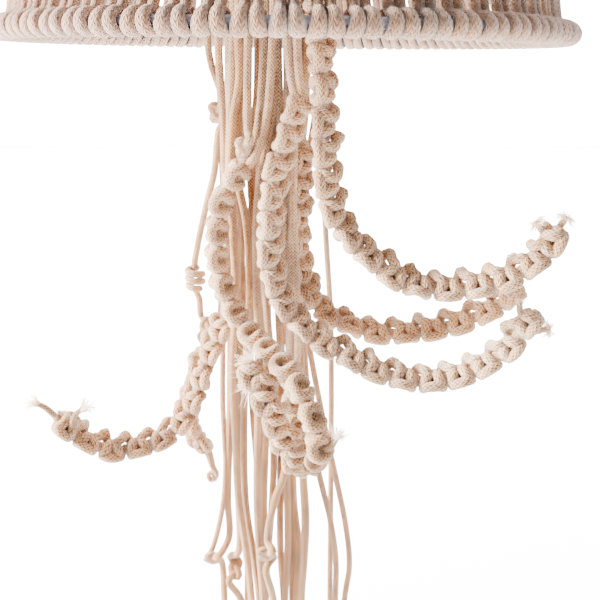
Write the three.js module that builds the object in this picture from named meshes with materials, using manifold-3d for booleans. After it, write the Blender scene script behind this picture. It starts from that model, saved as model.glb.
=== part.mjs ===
import * as THREE from 'three';
import { mergeVertices } from 'three/addons/utils/BufferGeometryUtils.js';
import Module from 'manifold-3d';

const wasm = await Module();
wasm.setup();

// A macrame dreamcatcher hanging with its hoop, in millimetres, +Z up.
// The origin is the inside top of the hanging loop, where a hook bears.
// Every height in the tables below is measured from the plane of the hoop, and -Y is the front.

// Cord and clearances
const CORD = 5.2;
const STRAND_RADIUS = 0.56 * CORD;
const GAP = 0.3;
const WELD = 1e-4;

// Hoop and the hitches round it
const HOOP_RADIUS = 150;
const HOOP_WIRE = 5;
const HOOP_SIDES = 6;
const HOOP_STEPS = 64;
const HOLE_CORNER = (HOOP_WIRE / 2 + GAP) / Math.cos(Math.PI / HOOP_SIDES);
const PAIRS = 64;
const GROUPS = 8;
const PAIRS_A_GROUP = PAIRS / GROUPS;
const PAIR_ANGLE = (2 * Math.PI) / PAIRS;
const WRAP_RADIUS = 6.55;
const WRAP_VALLEY = 5.5;
const PAIR_VALLEY = 4.1;
const WRAP_PLACES = [0.28, 0.5, 0.72];
const GROUP_MARGIN = 0.06;

// Bell of tails from the hoop to the gather
const BELL_HEIGHT = 280;
const TAIL_FOOT_RADIUS = HOOP_RADIUS - 2.6;
const TAIL_FOOT_HEIGHT = 3.2;
const TAIL_TOP_RADIUS = 34;
const TAIL_FOOT_REACH = [CORD, 2.2];
const TAIL_TOP_REACH = [1.2, 5];

// Gather: a wrap round all the cords, domed above where they fold over
const GATHER_RADIUS = 43;
const GATHER_WRAP_HEIGHT = 30;
const GATHER_TURNS = 4;
const GATHER_GROOVE = 1.2;
const GATHER_DOME = 14;
const GATHER_SHOULDER = [0.8, 0.6];
const GATHER_TOP_RADIUS = 16;
const GATHER_STEPS = 20;
const BUNDLE_TOP_RADIUS = 21;
const BUNDLE_TOP_SPACING = 5.6;
const BUNDLE_TOP_SINK = 2;
const PACKING_ROUNDS = 200;

// Hanging loop
const LOOP_THICKNESS = 8;
const LOOP_HALF_WIDTH = 10;
const LOOP_LEG = 18;
const LOOP_SIDES = 8;
const LOOP_ARC_STEPS = 10;

const GATHER_TOP = BELL_HEIGHT + GATHER_WRAP_HEIGHT + GATHER_DOME;
const LOOP_SEAT = GATHER_TOP + GAP + LOOP_LEG + LOOP_HALF_WIDTH - LOOP_THICKNESS / 2;

// Straight cords: x, y and height of each place a cord passes, from the hoop down to its end
const cords = [
  { name: 'far left, knotted', at: [[-44, 8, -1], [-43, 9, -17], [-40, 10, -38], [-39, 11, -55],
    [-43, 13, -81], [-48, 17, -98], [-56, 23, -129], [-58, 24, -149], [-56, 24, -162], [-53, 25, -181],
    [-52, 24, -195]] },
  { name: 'left', at: [[-36, -2, -2], [-36, 1, -25], [-33, 3, -41], [-34, 5, -84], [-35, 11, -140],
    [-37, 13, -227], [-40, 11, -298], [-40, 9, -326], [-50, 7, -338], [-50, 7, -346], [-44, 8, -374],
    [-46, 8, -427]] },
  { name: 'left, second', at: [[-34, 9, -1], [-36, 11, -56], [-39, 17, -142], [-42, 15, -228],
    [-41, 11, -276], [-44, 9, -305], [-51, 8, -333], [-56, 7, -342]] },
  { name: 'left, third', at: [[-28, 6, -1], [-30, 6, -96], [-30, 4, -157], [-32, 2, -222], [-32, 0, -292],
    [-33, 0, -331], [-36, 1, -344], [-32, 1, -369], [-33, 1, -414]] },
  { name: 'dark left', at: [[-25, -16, -2], [-25, -15, -26], [-29, -14, -48], [-31, -13, -79],
    [-30, -12, -153], [-33, -12, -197], [-32, -12, -243], [-31, -12, -285], [-27, -12, -321],
    [-24, -12, -359], [-24, -12, -439]] },
  { name: 'inner left', at: [[-23, -6, -2], [-24, -7, -30], [-28, -8, -57], [-28, -8, -79], [-23, -8, -108],
    [-22, -8, -154], [-26, -7, -209], [-27, -6, -289], [-22, -6, -333], [-19, -6, -364], [-18, -6, -424]] },
  { name: 'front left', at: [[-4, -15, -2], [-5, -16, -27], [-10, -18, -59], [-16, -20, -95],
    [-17, -20, -150], [-16, -19, -178], [-18, -18, -240], [-19, -18, -282], [-18, -18, -318],
    [-16, -18, -355], [-17, -18, -457]] },
  { name: 'front middle', at: [[-12, -9, -2], [-13, -10, -49], [-15, -12, -82], [-13, -14, -134],
    [-8, -12, -203], [-1, -16, -252], [-2, -22, -263], [-7, -27, -275], [-12, -30, -303], [-13, -29, -323],
    [-9, -26, -349], [-7, -22, -430]] },
  { name: 'middle', at: [[-8, -3, -2], [-9, -6, -66], [-13, -8, -129], [-13, -10, -231], [-15, -10, -286],
    [-15, -10, -361], [-14, -10, -441]] },
  { name: 'middle right', at: [[-6, -9, -2], [-5, -9, -46], [-5, -9, -88], [-5, -7, -154], [-1, -6, -260],
    [0, -6, -318], [-2, -6, -364], [-3, -6, -453]] },
  { name: 'middle right, behind', at: [[2, 1, -2], [2, 2, -44], [-1, 4, -84], [-1, 6, -152], [3, 2, -222],
    [3, 0, -263], [3, -2, -343], [2, -2, -425]] },
  { name: 'right of middle', at: [[4, 8, -1], [4, 9, -50], [2, 10, -97], [2, 11, -159], [3, 6, -224],
    [4, 0, -292], [7, -3, -324], [5, -4, -365], [5, -4, -438]] },
  { name: 'right', at: [[12, -16, -2], [11, -4, -43], [7, 10, -85], [6, 13, -128], [7, 14, -167],
    [10, 4, -223], [10, -6, -264], [12, -12, -299], [11, -14, -324], [9, -14, -358], [9, -14, -433]] },
  { name: 'right, swinging out', at: [[17, -7, -2], [17, 4, -44], [9, 15, -92], [7, 18, -142],
    [10, 19, -185], [16, 8, -253], [21, 4, -278], [28, 2, -308], [32, 2, -338], [32, 2, -369],
    [32, 2, -449]] },
  { name: 'far right', at: [[19, 4, -1], [19, 14, -45], [10, 21, -96], [9, 24, -150], [14, 24, -194],
    [26, 17, -257], [33, 15, -289], [39, 15, -320], [42, 15, -351], [39, 15, -379], [39, 15, -449]] },
  { name: 'pale right', at: [[16, 20, -1], [19, 27, -45], [22, 32, -88], [25, 34, -133], [28, 33, -179],
    [29, 26, -292], [29, 21, -383], [29, 20, -420]] },
  { name: 'behind, left', at: [[-32, 13, -1], [-34, 14, -56], [-28, 15, -105], [-28, 15, -161],
    [-31, 14, -228], [-29, 13, -299], [-28, 13, -346], [-31, 13, -445]] },
  { name: 'behind, inner left', at: [[-18, 9, -1], [-20, 9, -39], [-23, 8, -67], [-20, 8, -115],
    [-20, 7, -158], [-17, 6, -224], [-17, 6, -295], [-18, 6, -413]] },
  { name: 'behind, middle', at: [[-11, 8, -1], [-12, 6, -96], [-14, 4, -223], [-15, 3, -339],
    [-15, 3, -450]] },
  { name: 'behind, right', at: [[1, 15, -1], [0, 16, -45], [-3, 15, -98], [-4, 12, -227], [-5, 2, -301],
    [-5, 2, -331], [-3, 4, -371], [-3, 6, -420]] },
  { name: 'back, left', at: [[-14, 19, -1], [-15, 18, -98], [-17, 16, -228], [-19, 15, -301],
    [-16, 15, -437]] },
  { name: 'back, right', at: [[7, 21, -1], [7, 23, -69], [5, 25, -164], [8, 19, -258], [11, 16, -316],
    [9, 16, -380], [8, 16, -414]] },
];

// Overhand knots, each a squat ball by its middle and its width
const KNOT_STEPS = [7, 4];
const KNOT_SQUAT = 0.8;
const knots = [
  { name: 'high left', at: [-41, 10, -46], size: 13 },
  { name: 'wrapped, far left', at: [-58, 24, -149], size: 15 },
  { name: 'last, far left', at: [-53, 25, -181], size: 13 },
  { name: 'open loop', at: [-18, -30, -62], size: 13 },
  { name: 'front low', at: [-13, -29, -313], size: 18 },
  { name: 'left low', at: [-50, 7, -341], size: 15 },
  { name: 'left low, second', at: [-36, 1, -344], size: 13 },
];

// Arms. feed: x and y where each cord of the arm passes the feed height. line: the middle of its row of
// knots. thin: the way its flat face looks. bumps: on which side of it the bigger loops stand.
const arms = [
  {
    name: 'arm_a', thin: [0, 1, 0], bumps: -1, feedHeight: 60, feed: [[12, -31], [18, -30], [15, -25]],
    line: [[15, -38, 14], [17, -44, -10], [19, -49, -38], [20, -52, -66], [23, -53, -88], [31, -54, -104],
      [46, -56, -118], [66, -58, -131], [92, -62, -132], [117, -65, -125], [134, -66, -112], [139, -67, -98]],
  },
  {
    name: 'arm_b', thin: [0, 1, 0], bumps: -1, feedHeight: 0, feed: [[1, -27], [6, -28], [3, -21]],
    line: [[5, -30, -42], [0, -31, -56], [-7, -32, -78], [-10, -36, -106], [-8, -38, -133], [3, -40, -154],
      [22, -44, -169], [50, -50, -183], [76, -54, -188], [100, -57, -182], [119, -59, -168],
      [130, -60, -152]],
  },
  {
    name: 'arm_c', thin: [0, 1, 0], bumps: -1, feedHeight: 0, feed: [[5, -13], [11, -11], [7, -6]],
    line: [[8, -8, -71], [6, -8, -92], [6, -8, -119], [10, -8, -143], [19, -9, -159], [35, -12, -168],
      [57, -16, -173], [79, -20, -170], [101, -24, -163], [118, -27, -155], [128, -28, -146]],
  },
  {
    name: 'arm_d', thin: [0.7, 0.7, 0], bumps: 1, feedHeight: -34,
    feed: [[-17, -28], [-11, -27], [-15, -21]],
    line: [[-26, -27, -78], [-34, -26, -91], [-38, -25, -112], [-37, -27, -132], [-29, -32, -152],
      [-17, -44, -165], [-6, -58, -170], [3, -72, -175], [11, -84, -184], [17, -93, -197], [18, -96, -211],
      [13, -93, -222]],
  },
  {
    name: 'arm_e', thin: [0, 1, 0], bumps: 1, feedHeight: 0, feed: [[-28, -13], [-31, -7], [-26, -7]],
    line: [[-40, 2, -175], [-45, 0, -186], [-51, -2, -198], [-54, -4, -212], [-62, -7, -229],
      [-73, -10, -241], [-85, -13, -246], [-98, -16, -248], [-111, -18, -247], [-123, -20, -241],
      [-134, -21, -231], [-141, -22, -221]],
  },
  {
    name: 'arm_f', thin: [0, 1, 0], bumps: 1, feedHeight: 0, feed: [[-32, 17], [-26, 21], [-21, 17]],
    line: [[-44, 32, -186], [-51, 36, -203], [-60, 42, -226], [-67, 47, -248], [-67, 51, -265],
      [-60, 54, -279], [-54, 56, -292], [-55, 57, -306]],
  },
  {
    name: 'arm_g', thin: [0.75, 0.66, 0], bumps: 1, feedHeight: 0, feed: [[6, -20], [1, -16], [-4, -16]],
    line: [[4, -16, -200], [5, -20, -217], [8, -31, -234], [10, -45, -241], [7, -59, -234], [0, -67, -217],
      [-5, -71, -203], [-11, -71, -189], [-17, -68, -178]],
  },
];

// Row of knots, and the cords that lead to it: they end side by side at its start
const FEED_LEAD = 6;
const FEED_ENDS = [[-1.8, -0.9], [1.8, -0.9], [0, 1.8]];
const KNOT_PITCH = 15.8;
const RINGS_A_KNOT = 2;
const ARM_SIDES = 6;
const ARM_HALF_THICKNESS = 5.2;
const BUMP_REACH = 9.6;
const BODY_REACH = 5.4;
const BACK_LUMP = 6.4;
const TUFT_LENGTH = 17;
const TUFT_STRANDS = 4;
const TUFT_ROOT = 2.6;
const TUFT_ROOT_SINK = 3;
const TUFT_ROOT_SPREAD = 2;
const TUFT_TIP = 0.9;
const TUFT_TIP_SPREAD = 8.5;
const TUFT_FLATNESS = 0.5;

const cotton = new THREE.MeshStandardMaterial({ color: 0xe6d3bd, roughness: 0.95, metalness: 0 });
const ringPaint = new THREE.MeshStandardMaterial({ color: 0xb9b4ba, roughness: 0.5, metalness: 0.2 });

// A closed bar along points. reach(ring, u, v) gives how far its surface lies from the middle line,
// u across the bar and v through its thin side; thin is the direction of its thin side. A boxed bar
// has flat sides there and ends that are level with thin, otherwise a corner points each way.
function bar(points, thin, sides, reach, boxed = false) {
  const steps = points.length - 1;
  const turn = boxed ? Math.PI / sides : 0;
  const corner = boxed ? 1 / Math.cos(turn) : 1;
  const geometry = new THREE.CylinderGeometry(corner, corner, 1, sides, steps, false, turn);
  const position = geometry.attributes.position;
  const frames = points.map((point, ring) => {
    const before = points[Math.max(ring - 1, 0)];
    const after = points[Math.min(ring + 1, steps)];
    const along = after.clone().sub(before).normalize();
    const across = thin.clone().cross(along).normalize();
    const through = boxed ? thin : along.clone().cross(across);
    return { point, across, through };
  });
  for (let i = 0; i < position.count; i += 1) {
    const ring = Math.round((0.5 - position.getY(i)) * steps);
    const u = position.getX(i);
    const v = position.getZ(i);
    const { point, across, through } = frames[ring];
    const [reachU, reachV] = reach(ring, u, v);
    const moved = point.clone().addScaledVector(across, u * reachU).addScaledVector(through, v * reachV);
    position.setXYZ(i, moved.x, moved.y, moved.z);
  }
  return geometry;
}

function strand(points, rootRadius = STRAND_RADIUS, tipRadius = rootRadius) {
  const last = points.length - 1;
  const direction = points[last].clone().sub(points[0]).normalize();
  const thin = Math.abs(direction.y) < 0.7 ? new THREE.Vector3(0, 1, 0) : new THREE.Vector3(1, 0, 0);
  return bar(points, thin, 4, (ring) => {
    const radius = THREE.MathUtils.lerp(rootRadius, tipRadius, ring / last);
    return [radius, radius];
  });
}

function solid(geometry) {
  const plain = geometry.clone();
  plain.deleteAttribute('normal');
  plain.deleteAttribute('uv');
  const merged = mergeVertices(plain, WELD);
  return new wasm.Manifold(new wasm.Mesh({
    numProp: 3,
    vertProperties: merged.attributes.position.array,
    triVerts: merged.index.array,
  }));
}

function mesh(name, shape, material) {
  const { vertProperties, triVerts } = shape.getMesh();
  const geometry = new THREE.BufferGeometry();
  geometry.setAttribute('position', new THREE.BufferAttribute(vertProperties, 3));
  geometry.setIndex(new THREE.BufferAttribute(triVerts, 1));
  geometry.computeVertexNormals();
  const made = new THREE.Mesh(geometry, material);
  made.name = name;
  return made;
}

const vector = (row) => new THREE.Vector3(...row);

function hoop() {
  const ring = new THREE.TorusGeometry(HOOP_RADIUS, HOOP_WIRE / 2, HOOP_SIDES, HOOP_STEPS);
  return mesh('hoop', solid(ring), ringPaint);
}

function onHoop(angle, radius = HOOP_RADIUS, height = 0) {
  return new THREE.Vector3(radius * Math.cos(angle), radius * Math.sin(angle), height);
}

// Eight hitches side by side on one eighth of the hoop. Each hitch is two wraps with a groove between,
// and its two tails rise side by side as one flat strand that is pressed narrow and deep at the gather.
function bellGroup(group) {
  const firstPair = group * PAIRS_A_GROUP;
  const up = new THREE.Vector3(0, 0, 1);
  const ringAngles = [(firstPair + GROUP_MARGIN) * PAIR_ANGLE];
  const ringRadii = [PAIR_VALLEY];
  const tails = [];
  for (let pair = firstPair; pair < firstPair + PAIRS_A_GROUP; pair += 1) {
    const last = pair === firstPair + PAIRS_A_GROUP - 1;
    WRAP_PLACES.forEach((place) => ringAngles.push((pair + place) * PAIR_ANGLE));
    ringAngles.push((pair + 1 - (last ? GROUP_MARGIN : 0)) * PAIR_ANGLE);
    ringRadii.push(WRAP_RADIUS, WRAP_VALLEY, WRAP_RADIUS, PAIR_VALLEY);
    const middle = (pair + 0.5) * PAIR_ANGLE;
    const foot = onHoop(middle, TAIL_FOOT_RADIUS, TAIL_FOOT_HEIGHT);
    const top = onHoop(middle, TAIL_TOP_RADIUS, BELL_HEIGHT - GAP);
    const reach = (ring) => (ring === 0 ? TAIL_FOOT_REACH : TAIL_TOP_REACH);
    tails.push(solid(bar([foot, top], onHoop(middle, 1), 4, reach, true)));
  }
  const points = ringAngles.map((angle) => onHoop(angle));
  let shape = solid(bar(points, up, HOOP_SIDES, (ring) => [ringRadii[ring], ringRadii[ring]]));
  tails.forEach((tail) => {
    shape = shape.add(tail);
  });
  const inner = [];
  for (let step = -1; step <= PAIRS_A_GROUP + 1; step += 1) {
    inner.push(onHoop((firstPair + step) * PAIR_ANGLE));
  }
  shape = shape.subtract(solid(bar(inner, up, HOOP_SIDES, () => [HOLE_CORNER, HOLE_CORNER])));
  return mesh(`bell_cords_${group + 1}`, shape, cotton);
}

// Where the cords of the bundle leave the gather: drawn in from their places at the hoop,
// then pushed apart until none is closer than the spacing
function packedTops(feet) {
  const middle = feet.reduce((sum, foot) => sum.add(foot), new THREE.Vector2()).divideScalar(feet.length);
  const reach = Math.max(...feet.map((foot) => foot.distanceTo(middle)));
  const tops = feet.map((foot) => foot.clone().sub(middle).multiplyScalar(BUNDLE_TOP_RADIUS / reach));
  for (let round = 0; round < PACKING_ROUNDS; round += 1) {
    for (let i = 0; i < tops.length; i += 1) {
      for (let j = i + 1; j < tops.length; j += 1) {
        const apart = tops[j].clone().sub(tops[i]);
        const short = BUNDLE_TOP_SPACING - apart.length();
        if (short > 0) {
          apart.setLength(short / 2);
          tops[i].sub(apart);
          tops[j].add(apart);
        }
      }
    }
    tops.forEach((top) => top.clampLength(0, BUNDLE_TOP_RADIUS));
  }
  return tops;
}

function gather() {
  const profile = [new THREE.Vector2(0, 0)];
  const turn = GATHER_WRAP_HEIGHT / GATHER_TURNS;
  for (let i = 0; i < GATHER_TURNS; i += 1) {
    profile.push(new THREE.Vector2(GATHER_RADIUS - GATHER_GROOVE, i * turn));
    profile.push(new THREE.Vector2(GATHER_RADIUS, (i + 0.5) * turn));
  }
  profile.push(new THREE.Vector2(GATHER_RADIUS - GATHER_GROOVE, GATHER_WRAP_HEIGHT));
  const [shoulderOut, shoulderUp] = GATHER_SHOULDER;
  const shoulder = GATHER_WRAP_HEIGHT + shoulderUp * GATHER_DOME;
  profile.push(new THREE.Vector2(shoulderOut * GATHER_RADIUS, shoulder));
  profile.push(new THREE.Vector2(GATHER_TOP_RADIUS, GATHER_WRAP_HEIGHT + GATHER_DOME));
  profile.push(new THREE.Vector2(0, GATHER_WRAP_HEIGHT + GATHER_DOME));
  const barrel = new THREE.LatheGeometry(profile, GATHER_STEPS);
  barrel.rotateX(Math.PI / 2);
  barrel.translate(0, 0, BELL_HEIGHT);
  return solid(barrel);
}

function overhandKnot({ at, size }) {
  const ball = new THREE.SphereGeometry(size / 2, ...KNOT_STEPS);
  ball.rotateX(Math.PI / 2);
  ball.scale(1, 1, KNOT_SQUAT);
  ball.translate(...at);
  return solid(ball);
}

// The middle line of an arm, with rings at even steps, and its flat directions where it starts or ends
function armRings({ line }) {
  const curve = new THREE.CatmullRomCurve3(line.map(vector), false, 'centripetal');
  const count = Math.round(curve.getLength() / KNOT_PITCH);
  return curve.getSpacedPoints(count * RINGS_A_KNOT);
}

function armFrame(end, inside, thin) {
  const away = end.clone().sub(inside).normalize();
  const across = vector(thin).cross(away).normalize();
  return { away, across, through: away.clone().cross(across) };
}

// The gather and all that hangs from it: straight cords, and the cords that lead to the arms
function bundle() {
  const feet = cords.map(({ at }) => new THREE.Vector2(at[0][0], at[0][1]));
  arms.forEach(({ feed }) => feed.forEach(([x, y]) => feet.push(new THREE.Vector2(x, y))));
  const topHeight = BELL_HEIGHT + BUNDLE_TOP_SINK;
  const tops = packedTops(feet).map(({ x, y }) => new THREE.Vector3(x, y, topHeight));
  let shape = gather();
  cords.forEach(({ at }, i) => {
    shape = shape.add(solid(strand([tops[i], ...at.map(vector)])));
  });
  let next = cords.length;
  arms.forEach((row) => {
    const [start, second] = armRings(row);
    const { away, across, through } = armFrame(start, second, row.thin);
    row.feed.forEach(([x, y], i) => {
      const [u, v] = FEED_ENDS[i];
      const end = start.clone().addScaledVector(away, GAP).addScaledVector(across, u)
        .addScaledVector(through, v);
      const lead = end.clone().addScaledVector(away, FEED_LEAD);
      const bend = new THREE.Vector3(x, y, row.feedHeight);
      shape = shape.add(solid(strand([tops[next], bend, lead, end])));
      next += 1;
    });
  });
  knots.forEach((knot) => {
    shape = shape.add(overhandKnot(knot));
  });
  return mesh('gather_and_bundle', shape, cotton);
}

function arm(row) {
  const points = armRings(row);
  let shape = solid(bar(points, vector(row.thin), ARM_SIDES, (ring, u) => {
    const lifted = ring % RINGS_A_KNOT === 1;
    const bumpSide = u * row.bumps > 0;
    const bump = lifted ? BUMP_REACH : BODY_REACH;
    const back = lifted ? BODY_REACH : BACK_LUMP;
    return [bumpSide ? bump : back, ARM_HALF_THICKNESS];
  }));
  const [inside, end] = points.slice(-2);
  const { away, across, through } = armFrame(end, inside, row.thin);
  for (let i = 0; i < TUFT_STRANDS; i += 1) {
    const turn = ((i + 0.5) / TUFT_STRANDS) * 2 * Math.PI;
    const sideways = across.clone().multiplyScalar(Math.cos(turn))
      .addScaledVector(through, TUFT_FLATNESS * Math.sin(turn));
    const root = end.clone().addScaledVector(away, -TUFT_ROOT_SINK)
      .addScaledVector(sideways, TUFT_ROOT_SPREAD);
    const tip = end.clone().addScaledVector(away, TUFT_LENGTH)
      .addScaledVector(sideways, TUFT_TIP_SPREAD);
    shape = shape.add(solid(strand([root, tip], TUFT_ROOT, TUFT_TIP)));
  }
  return mesh(row.name, shape, cotton);
}

function hangingLoop() {
  const points = [new THREE.Vector3(-LOOP_HALF_WIDTH, 0, GATHER_TOP + GAP)];
  for (let step = 0; step <= LOOP_ARC_STEPS; step += 1) {
    const turn = Math.PI * (1 - step / LOOP_ARC_STEPS);
    const x = LOOP_HALF_WIDTH * Math.cos(turn);
    const z = LOOP_HALF_WIDTH * Math.sin(turn);
    points.push(new THREE.Vector3(x, 0, GATHER_TOP + GAP + LOOP_LEG + z));
  }
  points.push(new THREE.Vector3(LOOP_HALF_WIDTH, 0, GATHER_TOP + GAP));
  const thin = new THREE.Vector3(0, 1, 0);
  const radius = LOOP_THICKNESS / 2;
  return mesh('hanging_loop', solid(bar(points, thin, LOOP_SIDES, () => [radius, radius])), cotton);
}

const group = new THREE.Group();
group.add(hoop(), hangingLoop(), bundle());
for (let i = 0; i < GROUPS; i += 1) {
  group.add(bellGroup(i));
}
arms.forEach((row) => group.add(arm(row)));
group.position.z = -LOOP_SEAT;

export default group;
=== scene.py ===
import math

import bmesh
import bpy
import numpy as np
from bpy.props import FloatProperty, FloatVectorProperty, IntProperty, PointerProperty
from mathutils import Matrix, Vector


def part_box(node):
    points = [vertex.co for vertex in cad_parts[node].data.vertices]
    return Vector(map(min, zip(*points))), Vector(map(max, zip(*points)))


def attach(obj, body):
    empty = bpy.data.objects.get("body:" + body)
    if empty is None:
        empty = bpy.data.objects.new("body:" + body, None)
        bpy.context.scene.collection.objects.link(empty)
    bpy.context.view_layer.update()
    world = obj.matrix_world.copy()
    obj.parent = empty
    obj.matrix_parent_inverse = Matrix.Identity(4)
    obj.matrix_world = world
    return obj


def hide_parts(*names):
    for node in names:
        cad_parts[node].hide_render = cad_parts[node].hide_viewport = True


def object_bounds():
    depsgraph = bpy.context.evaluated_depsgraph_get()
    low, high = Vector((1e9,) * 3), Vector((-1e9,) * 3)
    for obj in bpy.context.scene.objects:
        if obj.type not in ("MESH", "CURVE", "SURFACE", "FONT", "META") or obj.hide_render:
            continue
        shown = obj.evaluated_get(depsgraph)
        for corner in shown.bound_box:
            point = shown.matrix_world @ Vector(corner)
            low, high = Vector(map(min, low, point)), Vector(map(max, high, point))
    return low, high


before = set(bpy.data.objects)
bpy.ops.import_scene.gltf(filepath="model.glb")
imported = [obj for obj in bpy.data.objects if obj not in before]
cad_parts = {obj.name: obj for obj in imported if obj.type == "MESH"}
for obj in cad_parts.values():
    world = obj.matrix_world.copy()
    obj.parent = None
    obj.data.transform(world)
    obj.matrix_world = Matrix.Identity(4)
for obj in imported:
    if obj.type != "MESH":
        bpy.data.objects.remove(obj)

# A macrame dreamcatcher hanging with its hoop: cords hitched round a level hoop rise to a gather,
# and a bundle of cords with knotted, curling arms hangs through the middle.
# Tables and shapes are in millimetres from the middle of the hoop, +Z up and -Y to the front.

bl_info = {
    "name": "Macrame Hanging",
    "version": (1, 0, 0),
    "blender": (4, 5, 0),
    "location": "View3D > Sidebar > Macrame",
    "description": "Builds the cords, knots, hoop and stage of a macrame hanging",
    "category": "Object",
}

MM = 0.001
CAD_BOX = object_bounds()
HOOP_LOW, HOOP_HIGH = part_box("hoop")
HOOP_MIDDLE = (HOOP_LOW + HOOP_HIGH) / 2
LOWEST = CAD_BOX[0].z

# Hoop, hitches and tails
HOOP_RADIUS = 150
PAIRS = 64
GROUPS = 8
PAIR_ANGLE = 2 * math.pi / PAIRS
BELL_HEIGHT = 280
HITCH_STEP = 1.6

# Tails of the hitched cords: how far from the axis each layer reaches the gather, and how a tail lies
# under the binding
TAIL_LAYERS = (26.5, 30.8, 35.0, 38.8)
LAYER_STRIDE = 3
TAIL_SIDE = 2.6
TAIL_STEP = 12.0
TAIL_SHOULDER = 4
BOUND_LENGTH = 6
BOUND_DEPTH = 0.4
BOUND_WIDTH = 4.8

# Half of a hitch, from the middle of its bar round the hoop to its tail. side is away from the middle
# of the pair, out is away from the middle of the hoop, wide and deep are the cord's pressed section.
HITCH = [
    {"side": 0.0, "out": -10.6, "up": 4.8, "wide": 5.0, "deep": 4.6},
    {"side": 2.4, "out": -10.2, "up": 3.6, "wide": 5.2, "deep": 4.4},
    {"side": 3.7, "out": -7.6, "up": -0.2, "wide": 5.8, "deep": 4.0},
    {"side": 3.9, "out": -3.8, "up": -3.2, "wide": 6.6, "deep": 3.8},
    {"side": 3.9, "out": 0.6, "up": -4.2, "wide": 7.2, "deep": 3.6},
    {"side": 3.65, "out": 3.7, "up": -2.4, "wide": 7.2, "deep": 3.6},
    {"side": 3.3, "out": 4.4, "up": 0.3, "wide": 6.6, "deep": 3.8},
    {"side": 3.0, "out": 3.0, "up": 2.9, "wide": 5.6, "deep": 4.0},
    {"side": 2.8, "out": 0.0, "up": 4.3, "wide": 4.8, "deep": 4.2},
    {"side": 2.7, "out": -3.4, "up": 4.4, "wide": 4.6, "deep": 4.4},
    {"side": 2.6, "out": -6.0, "up": 6.6, "wide": 4.8, "deep": 4.8},
    {"side": 2.6, "out": -8.2, "up": 16.0, "wide": 5.2, "deep": 5.2},
]

# Where the pairs stand round the ring and how unlike they are: an angle, its spread and a lift's spread
HITCH_TURN = -0.027
HITCH_TURN_SPREAD = 0.004
HITCH_LIFT_SPREAD = 0.25

# Where less than this share of a cord's way leads off the ring's own, its flat side looks straight up
FLAT_SIDE_SHARE = 0.35

# The cords on the ring are in painted shade of the bell: a shade below 0 leads from the yarn's own colours
# to darker, duller ones
BELL_SHADED_HITCHES = (-1.0, -0.7)

# The hung ring lies a little low and tips, in millimetres at its middle, right side and back
RING_SAG = 2.75
RING_RIGHT = 1.57
RING_BACK = 1.15
RING_SIDES = 16
RING_STEPS = 160

# Gather, crown and hanging loop
WRAP_RADIUS = 40.3
WRAP_TURNS = 5.0
WRAP_STEPS = 48
WRAP_BOTTOM = 282.6
WRAP_TOP = 309.0
WRAP_SPREAD = 0.4
WRAP_PRESS = 0.2
WRAP_SHADE = 0.6
CROWN_TIERS = [
    {"cords": 44, "route": ((39.0, 303.0), (38.0, 310.0), (32.5, 315.5), (25.0, 317.0), (18.0, 315.0))},
    {"cords": 22, "route": ((24.0, 311.0), (21.0, 317.5), (14.5, 321.5), (8.0, 321.0), (3.0, 317.0))},
]
CROWN_STEP = 2.0
CROWN_SWAY = 0.12
CROWN_LIFT = 0.5
LOOP_SEAT = -HOOP_MIDDLE.z / MM
LOOP_HALF_WIDTH = 10
LOOP_THICKNESS = 8
LOOP_LEG_FOOT = 318
LOOP_ARC_HEIGHT = LOOP_SEAT - LOOP_HALF_WIDTH + LOOP_THICKNESS / 2
LOOP_ARC_PLACES = 15
LOOP_STEP = 1.0
PLY_WIDTH = 4.4
PLY_OFFSET = 1.85
PLY_TWIST = 15.0
PLY_SHADES = (0.3, 0.7)
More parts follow.
